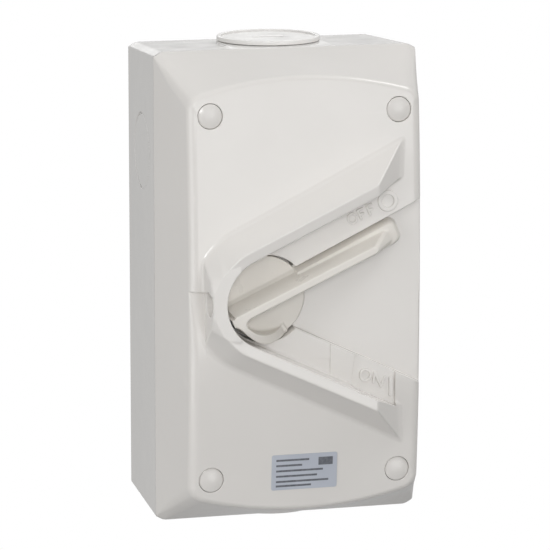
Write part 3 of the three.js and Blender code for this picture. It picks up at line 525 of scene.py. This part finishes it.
def cover_field(x, d, z):
    """The front cover: a shell with its guard, lever pocket, knob bore, wells and marks."""
    body = cover_outside(x, d, z)
    body = either(body, guard_field(x, d, z), 1.3)
    slope, guard_slope = math.radians(POCKET_ANGLE), math.radians(GUARD_ANGLE)
    low_z = -z
    from_axis = x - AXIS_X
    pocket_edge = (6 + from_axis * math.sin(slope)) / math.cos(slope)
    guard_edge = (GUARD_INNER + from_axis * math.sin(guard_slope)) / math.cos(guard_slope)
    step = np.maximum(np.maximum(10 - x, x - 22), np.maximum(pocket_edge + 0.4 - low_z, low_z - guard_edge))
    step = np.maximum(np.maximum(step, 84 - d), d - front_depth(z) - 0.35)
    body = np.minimum(body, step)
    run_x = (d - 53.5) / 26.7
    arch = 80.8 + 6.6 * (1 - (x / 44.2) ** 2)
    hollow = np.maximum(np.abs(x) - mix(53.1, 47.2, run_x), np.abs(z) - mix(95.8, arch, run_x))
    hollow = np.maximum(hollow, d - CAVITY_DEPTH)
    body = np.maximum(body, -hollow)
    radius = np.hypot(x - AXIS_X, z)
    cup = np.maximum(np.maximum(radius - 20.8, 76 - d), d - 81)
    cup = np.minimum(cup, np.maximum(np.maximum(radius - 12, 73.8 - d), d - 77))
    body = np.minimum(body, cup)
    wells = []
    for px in (-SCREW[0], SCREW[0]):
        for pz in (-SCREW[1], SCREW[1]):
            out = np.hypot(x - px, z - pz)
            column = np.maximum(np.maximum(out - 7.5, RIM_DEPTH + SEAM - d), d - 81)
            body = np.minimum(body, column)
            wells.append(np.minimum(np.maximum(out - CAP_RADIUS - 0.16, 62 - d), out - 2.8))
    pocket_plan = np.abs(z) * math.cos(slope) - from_axis * math.sin(slope) - 6
    pocket_plan = np.maximum(pocket_plan, AXIS_X - x)
    pocket = both(pocket_plan, POCKET_DEPTH - d, 0.4)
    body = without(body, pocket, mix(0.9, 0.4, ease(z, -4, 0)))
    left = 20.6 - 0.12 * (low_z - 26) - x
    plate = np.maximum(pocket_edge - 1.0 - low_z, low_z - guard_edge - 0.4)
    plate = np.maximum(np.maximum(plate, PLATE_DEPTH - d), np.maximum(left, x - 38.5))
    body = without(body, plate, 0.2)
    for strokes, face in cover_marks(x, d, z):
        outline = strokes[0]
        for more in strokes[1:]:
            outline = np.minimum(outline, more)
        mark = both(outline, d - face - 0.65, 0.28)
        mark = np.maximum(mark, face - 0.6 - d)
        body = either(body, mark, 0.12)
    ramp = 86 + 2 * (3.8 - z) / 21.8
    shackle = np.maximum(x + 43.2, z - 3.8)
    shackle = np.maximum(np.maximum(shackle, ramp - d), -49.9 - x)
    body = without(body, shackle, 0.8)
    hole = np.maximum(np.hypot(d - 94.5, z) - 5, x + 34)
    body = without(body, hole, 0.4)
    bore = np.maximum(radius - KNOB_BORE, np.maximum(79 - d, -pocket_plan))
    bore = np.minimum(bore, np.maximum(radius - KNOB_RADIUS - 0.14, 79 - d))
    bore = np.minimum(bore, np.maximum(radius - 10.5, 77 - d))
    bore = np.minimum(bore, radius - 8.4)
    body = without(body, bore, 0.3)
    for well in wells:
        body = without(body, well, 0.15)
    return body


# ---------- Lever ----------

def lever_field(x, d, z):
    """The lever in its own frame: the blade runs along +x from the axis at x = 0."""
    az = np.abs(z)
    below = LEVER_DEPTH - d
    swell = 0.03 * below * (1 - ease(x + 0.41 * (d - 89), 15.9, 16.9))
    flank = (az - CREST_HALF - 0.14 * below - swell) * 0.985
    end = (x - CREST_END - 0.86 * below) * 0.76
    rib = both(both(flank, end, 1.6), -below, 0.5)
    radius = np.hypot(x, z)
    tail = np.where(x < 0, radius - TAIL_RADIUS, -5)
    rib = np.maximum(rib, np.maximum(tail, KNOB_FACE - 0.8 - d))
    spread = np.where(z > 0, 0.018 * (x - KNOB_RADIUS), 0)
    side = (az - TONGUE_HALF - 0.3 * (TONGUE_DEPTH - d) - spread) * 0.95
    nose = (x - LEVER_LENGTH + 0.45 * (d - 84.5)) * 0.91
    tongue = both(both(side, nose, 3.0), d - TONGUE_DEPTH, 0.5)
    tongue = np.maximum(tongue, np.maximum(KNOB_RADIUS - 1.0 - x, KNOB_FACE - 0.8 - d))
    border = both(both(az - BORDER_HALF, d - KNOB_FACE - 1.0, 0.7), np.abs(x) - BORDER_LENGTH, 0.3)
    border = np.maximum(border, KNOB_FACE - 0.8 - d)
    blade = either(rib, np.minimum(tongue, border), 0.7)
    disc = both(both(radius - KNOB_RADIUS, d - KNOB_FACE, 0.45), KNOB_BACK - d, 0.2)
    hub = np.maximum(np.maximum(radius - HUB_RADIUS, HUB_BACK - d), d - 80)
    angle = np.degrees(np.arctan2(z, x)) % 360
    share = np.clip((angle - HOOK_START) / 100, 0, 1)
    ramp = LEVER_DEPTH - 13.6 * np.maximum(0, (share - 0.15) / 0.85) ** 2.0
    rim = np.maximum(HOOK_RADIUS - radius, radius - TAIL_RADIUS - 1.2 * ease(angle, 205, 245))
    hook = both(either(rim, flank, 3.5), d - ramp, 0.5)
    hook = np.maximum(hook, np.maximum(HOOK_START - angle, angle - HOOK_END) * 0.25)
    hook = np.maximum(hook, KNOB_FACE - 2 - d)
    raised = np.minimum(blade, hook)
    body = either(disc, raised, 1.1)
    body = either(body, hub, 0.3)
    a, b = tilted(x, z, -OFF_ANGLE, 0)
    socket = np.maximum(np.maximum(np.abs(a), np.abs(b)) - SOCKET_HALF, d - 71.5)
    neck = np.maximum(np.maximum(7.2 - radius, 72 - d), d - 73.6)
    return np.maximum(np.maximum(body, -socket), -neck)


def make_shells():
    """The cover, the base and the lever, on grids that are finer where the detail is."""
    step = 0.55
    fine = 0.36
    mark = 0.2
    skin(
        "front_cover_skin", cover_field,
        axis_grid(-58, 58, step, [(-46, 45, fine), (16, 39.5, mark)]),
        axis_grid(53.5, 101.8, step, [(82, 102, fine), (85.6, 89.2, mark)]),
        axis_grid(-100.8, 100.8, step, [(-66, 66, fine), (-45.5, -31.5, mark), (30, 43, mark)]),
        "enclosure", "cover_plastic", ["front_cover"], faces=150000, walls=cover_walls,
    )
    skin(
        "base_skin", base_field,
        axis_grid(-58, 58, step, [(-58, -54, fine), (54, 58, fine)]),
        axis_grid(-1.2, 56, step, [(12.5, 46.5, fine)]),
        axis_grid(-100.8, 100.8, step, [(-101, -96, fine), (37, 72, fine), (96, 101, fine)]),
        "enclosure", "base_plastic", ["base_box"], faces=90000, walls=base_outside,
    )
    local = Matrix.Translation((AXIS_X * MM, 0, 0)) @ Matrix.Rotation(-math.radians(OFF_ANGLE), 4, "Y")
    lever_step = 0.33
    skin(
        "lever_skin", lever_field,
        axis_grid(-18.5, 64.5, lever_step),
        axis_grid(59.5, 99.8, lever_step * 1.5, [(78, 100, lever_step)]),
        axis_grid(-18.5, 18.5, lever_step),
        "lever", "lever_plastic", ["operating_lever"], faces=130000, turn=local,
    )


# ---------- Plugs and caps ----------

def plug_field(x, d, z):
    """Blanking plug with its flange facing +z."""
    radius = np.hypot(x, d - CONDUIT_DEPTH)
    foot = PAD_HEIGHT + 0.2
    flange = both(both(radius - FLANGE_RADIUS, z - foot - 1.9, 0.5), foot - z, 0.15)
    dish = both(radius - FLANGE_RADIUS + 2.1, foot + 1.2 - z, 0.1)
    flange = without(flange, dish, 0.3)
    spigot = np.maximum(np.maximum(radius - 15.8, 89 - z), z - foot - 0.5)
    body = either(flange, spigot, 0.1)
    slot = np.maximum(np.abs(x) - 7, np.abs(d - CONDUIT_DEPTH) - 1)
    return without(body, np.maximum(slot, foot + 0.3 - z), 0.2)


def cap_field(x, d, z):
    """A domed cap over a cover screw, centred on x = z = 0."""
    radius = np.hypot(x, z)
    rim = front_depth(SCREW[1]) - 0.45
    dome = d - rim - 0.75 * (1 - np.minimum(radius / CAP_RADIUS, 1.2) ** 2)
    head = both(both(radius - CAP_RADIUS, dome, 0.3), rim - 1.4 - d, 0.1)
    stem = np.maximum(np.maximum(radius - 4.3, rim - 5 - d), d - rim)
    return np.minimum(head, stem)


def make_small_parts():
    """The two conduit plugs and the four screw caps."""
    step = 0.4
    for place, side in (("top", 1), ("bottom", -1)):
        field = lambda x, d, z, side=side: plug_field(x, d, z * side)
        zs = axis_grid(88.2, 102.2, step, [(98.8, 102.2, step / 2)])
        zs = zs if side > 0 else -zs[::-1]
        skin(
            f"conduit_plug_{place}_skin", field,
            axis_grid(-23, 23, step), axis_grid(CONDUIT_DEPTH - 23, CONDUIT_DEPTH + 23, step), zs,
            "enclosure", "plug_plastic", [f"conduit_plug_{place}"], faces=16000,
        )
    fine = 0.22
    for row, pz in (("top", SCREW[1]), ("bottom", -SCREW[1])):
        for column, px in (("left", -SCREW[0]), ("right", SCREW[0])):
            field = lambda x, d, z, px=px, pz=pz: cap_field(x - px, d, z - pz)
            skin(
                f"screw_cap_{row}_{column}_skin", field,
                axis_grid(px - 6, px + 6, fine), axis_grid(78, 86, fine), axis_grid(pz - 6, pz + 6, fine),
                "enclosure", "cap_plastic", [f"screw_cap_{row}_{column}"], faces=6000,
            )


# ---------- Materials ----------

def srgb(r, g, b):
    """Colour as three 0-255 values, returned linear."""
    out = []
    for value in (r, g, b):
        v = value / 255
        out.append(v / 12.92 if v <= 0.04045 else ((v + 0.055) / 1.055) ** 2.4)
    return (*out, 1)


class Nodes:
    """Small helper that writes a node tree."""

    def __init__(self, name):
        self.material = bpy.data.materials.new(name)
        self.material.use_nodes = True
        self.tree = self.material.node_tree
        self.shader = self.tree.nodes["Principled BSDF"]
        self.where = self.node("ShaderNodeTexCoord").outputs["Object"]

    def node(self, kind, settings=None, **inputs):
        made = self.tree.nodes.new(kind)
        for key, value in (settings or {}).items():
            setattr(made, key, value)
        for key, value in inputs.items():
            socket = made.inputs[key.replace("_", " ")]
            if isinstance(value, bpy.types.NodeSocket):
                self.tree.links.new(value, socket)
            else:
                socket.default_value = value
        return made

    def noise(self, scale, detail=3.0, rough=0.55, where=None):
        inputs = {"Vector": where or self.where, "Scale": scale, "Detail": detail, "Roughness": rough}
        return self.node("ShaderNodeTexNoise", **inputs).outputs["Fac"]

    def ramp(self, source, stops):
        made = self.node("ShaderNodeValToRGB", Fac=source)
        elements = made.color_ramp.elements
        while len(elements) < len(stops):
            elements.new(0.5)
        for element, (position, colour) in zip(elements, stops):
            element.position = position
            element.color = colour if len(colour) == 4 else (*colour, 1)
        return made.outputs["Color"]

    def spread(self, source, low, high, start=0.3, end=0.7):
        inputs = {"Value": source, "From_Min": start, "From_Max": end, "To_Min": low, "To_Max": high}
        return self.node("ShaderNodeMapRange", **inputs).outputs["Result"]

    def bump(self, height, distance, strength=1.0, under=None):
        inputs = {"Height": height, "Distance": distance, "Strength": strength}
        if under is not None:
            inputs["Normal"] = under
        return self.node("ShaderNodeBump", **inputs).outputs["Normal"]

    def link(self, source, socket):
        self.tree.links.new(source, self.shader.inputs[socket])


def tint(colour, factor):
    """A lighter or darker shade of a colour."""
    return tuple(min(1, c * factor) for c in colour[:3]) + (1,)


def plastic(name, colour, rough, grain=0.000003, wear=0.5):
    """Moulded plastic: faint flow marks, rubbed edges, uneven gloss and a fine grain."""
    n = Nodes(name)
    flow = n.noise(16, 4, 0.6)
    base = n.ramp(flow, [(0.25, tint(colour, 0.98)), (0.75, tint(colour, 1.02))])
    edge = n.node("ShaderNodeNewGeometry").outputs["Pointiness"]
    rubbed = n.spread(edge, 0.0, wear, 0.52, 0.62)
    patchy = n.noise(90, 3, 0.6)
    amount = n.node("ShaderNodeMath", {"operation": "MULTIPLY"})
    n.tree.links.new(rubbed, amount.inputs[0])
    n.tree.links.new(patchy, amount.inputs[1])
    # Colour inputs of Mix are sockets 6 and 7, and its colour output is socket 2.
    mixed = n.node("ShaderNodeMix", {"data_type": "RGBA"})
    n.tree.links.new(amount.outputs[0], mixed.inputs[0])
    n.tree.links.new(base, mixed.inputs[6])
    mixed.inputs[7].default_value = tint(colour, 1.12)
    n.link(mixed.outputs[2], "Base Color")
    n.link(n.spread(n.noise(60, 4, 0.6), rough - 0.04, rough + 0.05), "Roughness")
    fine = n.bump(n.noise(2600, 2, 0.6), grain, 1.0)
    waves = n.bump(n.noise(40, 2, 0.5), 0.00003, 1.0, fine)
    n.link(waves, "Normal")
    return n.material


def rubber(name, colour):
    """Moulded seal rubber, matt and slightly dusty."""
    n = Nodes(name)
    n.link(n.ramp(n.noise(120, 4), [(0.3, tint(colour, 0.8)), (0.7, tint(colour, 1.3))]), "Base Color")
    n.link(n.spread(n.noise(300, 3), 0.7, 0.92), "Roughness")
    n.link(n.bump(n.noise(1800, 3), 0.00003), "Normal")
    return n.material


def metal(name, colour, rough, along=(1, 1, 30)):
    """Plated or drawn metal: fine directional scratches and a slightly uneven polish."""
    n = Nodes(name)
    mapping = n.node("ShaderNodeMapping", Vector=n.where, Scale=along).outputs["Vector"]
    lines = n.noise(900, 3, 0.6, mapping)
    n.link(n.ramp(n.noise(150, 4), [(0.3, tint(colour, 0.86)), (0.7, tint(colour, 1.06))]), "Base Color")
    n.link(n.spread(lines, rough - 0.07, rough + 0.12), "Roughness")
    n.link(n.bump(lines, 0.000008), "Normal")
    n.shader.inputs["Metallic"].default_value = 1.0
    return n.material


def label_film(name):
    """Pale printed film with plain bars in place of any words."""
    n = Nodes(name)
    n.link(n.ramp(n.noise(40, 3), [(0.3, srgb(186, 191, 202)), (0.7, srgb(196, 201, 211))]), "Base Color")
    n.link(n.spread(n.noise(200, 3), 0.28, 0.42), "Roughness")
    n.link(n.bump(n.noise(700, 2), 0.00001), "Normal")
    return n.material


def label_ink(name):
    """Grey print on the label."""
    n = Nodes(name)
    n.link(n.ramp(n.noise(900, 3), [(0.3, srgb(92, 95, 102)), (0.7, srgb(120, 123, 130))]), "Base Color")
    n.link(n.spread(n.noise(200, 3), 0.35, 0.5), "Roughness")
    n.link(n.bump(n.noise(900, 2), 0.000004), "Normal")
    return n.material


def make_materials():
    """Every material, by the name of its slot in the record."""
    return {
        "base_plastic": plastic("base_plastic", srgb(228, 226, 223), 0.22),
        "cover_plastic": plastic("cover_plastic", srgb(230, 227, 223), 0.2),
        "plug_plastic": plastic("plug_plastic", srgb(238, 236, 233), 0.2),
        "cap_plastic": plastic("cap_plastic", srgb(228, 225, 221), 0.2),
        "lever_plastic": plastic("lever_plastic", srgb(231, 227, 220), 0.3),
        "mechanism_plastic": plastic("mechanism_plastic", srgb(46, 48, 52), 0.5, 0.00002, 0.3),
        "rotor_plastic": plastic("rotor_plastic", srgb(127, 133, 139), 0.4),
        "seal_rubber": rubber("seal_rubber", (0.03, 0.03, 0.03, 1)),
        "zinc_steel": metal("zinc_steel", srgb(200, 203, 207), 0.32),
        "terminal_steel": metal("terminal_steel", srgb(208, 207, 202), 0.3),
        "contact_metal": metal("contact_metal", srgb(214, 212, 208), 0.28, (30, 1, 1)),
        "earth_brass": metal("earth_brass", srgb(205, 176, 112), 0.3, (1, 30, 30)),
        "label_film": label_film("label_film"),
        "label_ink": label_ink("label_ink"),
    }


def paint(piece, material):
    """Gives a piece this one material."""
    piece.data.materials.clear()
    piece.data.materials.append(material)


def paint_all(materials):
    """Paints every CAD node and every piece by its material slot, apart from the label's print."""
    slots = {row["node"]: row["material_slot"] for row in frame["record"]["subparts"]}
    for node, piece in frame["nodes"].items():
        paint(piece, materials[slots[node]])
    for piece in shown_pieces():
        if "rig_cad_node" not in piece and "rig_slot" in piece and piece.name != "rating_label_print":
            paint(piece, materials[piece["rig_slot"]])


# ---------- Rating label ----------

def make_label(materials):
    """Rounded film with raised print bars, laid on the crowned face."""
    width, height, thick = 28.2, 15.2, 0.25
    middle = (-0.3, -74.4)
    corner = 0.8
    outline = []
    for quarter in range(4):
        cx = (width / 2 - corner) * (1 if quarter in (0, 3) else -1)
        cz = (height / 2 - corner) * (1 if quarter in (0, 1) else -1)
        for k in range(7):
            angle = math.radians(90 * quarter + 15 * k)
            outline.append((cx + corner * math.cos(angle), cz + corner * math.sin(angle)))

    def lay(u, v, lift):
        x, z = middle[0] + u, middle[1] + v
        return Vector((x, -(front_depth(z) + lift), z)) * MM

    def plate(name, shapes, low, high, slot, material):
        verts, faces = [], []
        for ring in shapes:
            start, count = len(verts), len(ring)
            verts += [lay(u, v, low) for u, v in ring] + [lay(u, v, high) for u, v in ring]
            faces.append([start + count + i for i in range(count)])
            faces.append([start + i for i in reversed(range(count))])
            for i in range(count):
                j = (i + 1) % count
                faces.append([start + i, start + j, start + count + j, start + count + i])
        mesh = bpy.data.meshes.new(name)
        mesh.from_pydata(verts, [], faces)
        mesh.update()
        piece = bpy.data.objects.new(name, mesh)
        bpy.context.scene.collection.objects.link(piece)
        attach(piece, "enclosure")
        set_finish(piece, slot)
        paint(piece, material)
        return piece

    glue = 0.05
    film = plate("rating_label_film", [outline], glue, glue + thick, "label_film", materials["label_film"])
    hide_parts("rating_label")
    left, half = -12.2, 0.42
    bars = []
    for v, right in ((5.2, 2.0), (2.9, -1.0), (0.6, 8.0), (-1.7, 5.5), (-4.0, 10.5), (-5.9, 3.0)):
        bars.append([(left, v - half), (right, v - half), (right, v + half), (left, v + half)])
    bars.append([(6.0, 2.4), (12.2, 2.4), (12.2, 5.8), (6.0, 5.8)])
    top = glue + thick
    plate("rating_label_print", bars, top, top + 0.03, "label_film", materials["label_ink"])


# ---------- Floor, light and camera ----------

def emitter(name, strength):
    """A plain white surface that needs no light."""
    material = bpy.data.materials.new(name)
    material.use_nodes = True
    tree = material.node_tree
    tree.nodes.clear()
    out = tree.nodes.new("ShaderNodeOutputMaterial")
    glow = tree.nodes.new("ShaderNodeEmission")
    glow.inputs["Color"].default_value = (1, 1, 1, 1)
    glow.inputs["Strength"].default_value = strength
    tree.links.new(glow.outputs[0], out.inputs[0])
    return material


def make_floor():
    """A wide white ground below the part, seen by the camera only."""
    mesh = bpy.data.meshes.new("floor")
    size, level = 30.0, -0.26
    corners = [(x * size, y * size, level) for x, y in ((-1, -1), (1, -1), (1, 1), (-1, 1))]
    mesh.from_pydata(corners, [], [(0, 1, 2, 3)])
    floor = bpy.data.objects.new("floor", mesh)
    bpy.context.scene.collection.objects.link(floor)
    floor.data.materials.append(emitter("floor_white", 1.0))
    floor.visible_diffuse = False
    floor.visible_glossy = False
    floor.visible_shadow = False
    floor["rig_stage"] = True


# Parts of the studio's light by direction: strength, then the rising or falling edges of
# that part as (axis, start, end).
STUDIO = [
    (0.34, []),
    (0.43, [("Z", 0.0, 1.0)]),
    (0.28, [("Y", 0.2, 0.8)]),
    (2.80, [("Y", 0.55, 0.8), ("Z", 0.17, 0.22), ("Z", 0.5, 0.4), ("X", -0.2, -0.1), ("X", 0.45, 0.35)]),
    (2.00, [("Y", 0.0, -0.3), ("Z", -0.24, -0.16), ("Z", 0.2, 0.1), ("X", 0.04, 0.12), ("X", 0.5, 0.42)]),
    (1.00, [("Y", 0.0, -0.3), ("Z", -0.29, -0.27), ("Z", 0.2, 0.1), ("X", 0.04, 0.12), ("X", 0.5, 0.42)]),
]


def make_world():
    """A plain studio: even light all round, more from above, a low rim light behind and
    a softbox in front, all against white."""
    world = bpy.data.worlds.new("studio")
    bpy.context.scene.world = world
    world.use_nodes = True
    tree = world.node_tree
    tree.nodes.clear()

    def math_node(operation, a, b):
        made = tree.nodes.new("ShaderNodeMath")
        made.operation = operation
        for socket, value in zip(made.inputs, (a, b)):
            if isinstance(value, float):
                socket.default_value = value
            else:
                tree.links.new(value, socket)
        return made.outputs[0]

    out = tree.nodes.new("ShaderNodeOutputWorld")
    where = tree.nodes.new("ShaderNodeTexCoord")
    split = tree.nodes.new("ShaderNodeSeparateXYZ")
    tree.links.new(where.outputs["Generated"], split.inputs[0])
    level = 0.0
    for strength, edges in STUDIO:
        part = strength
        for axis, start, end in edges:
            edge = tree.nodes.new("ShaderNodeMapRange")
            edge.interpolation_type = "SMOOTHSTEP" if len(edges) > 1 else "LINEAR"
            edge.inputs["From Min"].default_value = start
            edge.inputs["From Max"].default_value = end
            tree.links.new(split.outputs[axis], edge.inputs["Value"])
            part = math_node("MULTIPLY", part, edge.outputs["Result"])
        level = math_node("ADD", level, part)
    light = tree.nodes.new("ShaderNodeBackground")
    tree.links.new(level, light.inputs["Strength"])
    white = tree.nodes.new("ShaderNodeBackground")
    white.inputs["Strength"].default_value = 1.0
    seen = tree.nodes.new("ShaderNodeLightPath")
    choose = tree.nodes.new("ShaderNodeMixShader")
    tree.links.new(seen.outputs["Is Camera Ray"], choose.inputs[0])
    tree.links.new(light.outputs[0], choose.inputs[1])
    tree.links.new(white.outputs[0], choose.inputs[2])
    tree.links.new(choose.outputs[0], out.inputs[0])


def make_light(name, place, power, size, target=(0, -0.05, 0)):
    """A rectangular area light aimed at a point."""
    data = bpy.data.lights.new(name, "AREA")
    data.shape = "RECTANGLE"
    data.size, data.size_y = size
    data.energy = power
    lamp = bpy.data.objects.new(name, data)
    bpy.context.scene.collection.objects.link(lamp)
    lamp.location = place
    lamp.rotation_mode = "QUATERNION"
    lamp.rotation_quaternion = (Vector(target) - Vector(place)).to_track_quat("-Z", "Y")


def make_camera():
    """A long lens, above and to the left of the front."""
    data = bpy.data.cameras.new("camera")
    data.sensor_width = 36
    data.lens = FOCAL_PIXELS * data.sensor_width / FRAME_PIXELS
    data.clip_start, data.clip_end = 0.1, 60
    camera = bpy.data.objects.new("camera", data)
    bpy.context.scene.collection.objects.link(camera)
    yaw, pitch = math.radians(CAMERA_TURN), math.radians(CAMERA_TILT)
    ahead = Vector((math.sin(yaw) * math.cos(pitch), math.cos(yaw) * math.cos(pitch), -math.sin(pitch)))
    right = Vector((math.cos(yaw), -math.sin(yaw), 0))
    up = right.cross(ahead)
    turn = Matrix((right, up, -ahead)).transposed()
    camera.matrix_world = Matrix.Translation(CAMERA_PLACE) @ turn.to_4x4()
    bpy.context.scene.camera = camera


make_camera()
make_world()
make_floor()
make_light("side", (-0.9, -0.55, 0.0), 2.9, (0.7, 0.7))
make_light("front", (-0.25, -0.95, 0.22), 1.8, (0.15, 0.15))
make_light("above", (0.5, -0.3, 0.78), 2.1, (0.3, 0.3))
MATERIALS = make_materials()
make_shells()
make_small_parts()
make_label(MATERIALS)
paint_all(MATERIALS)
bpy.context.scene.view_settings.view_transform = "Standard"
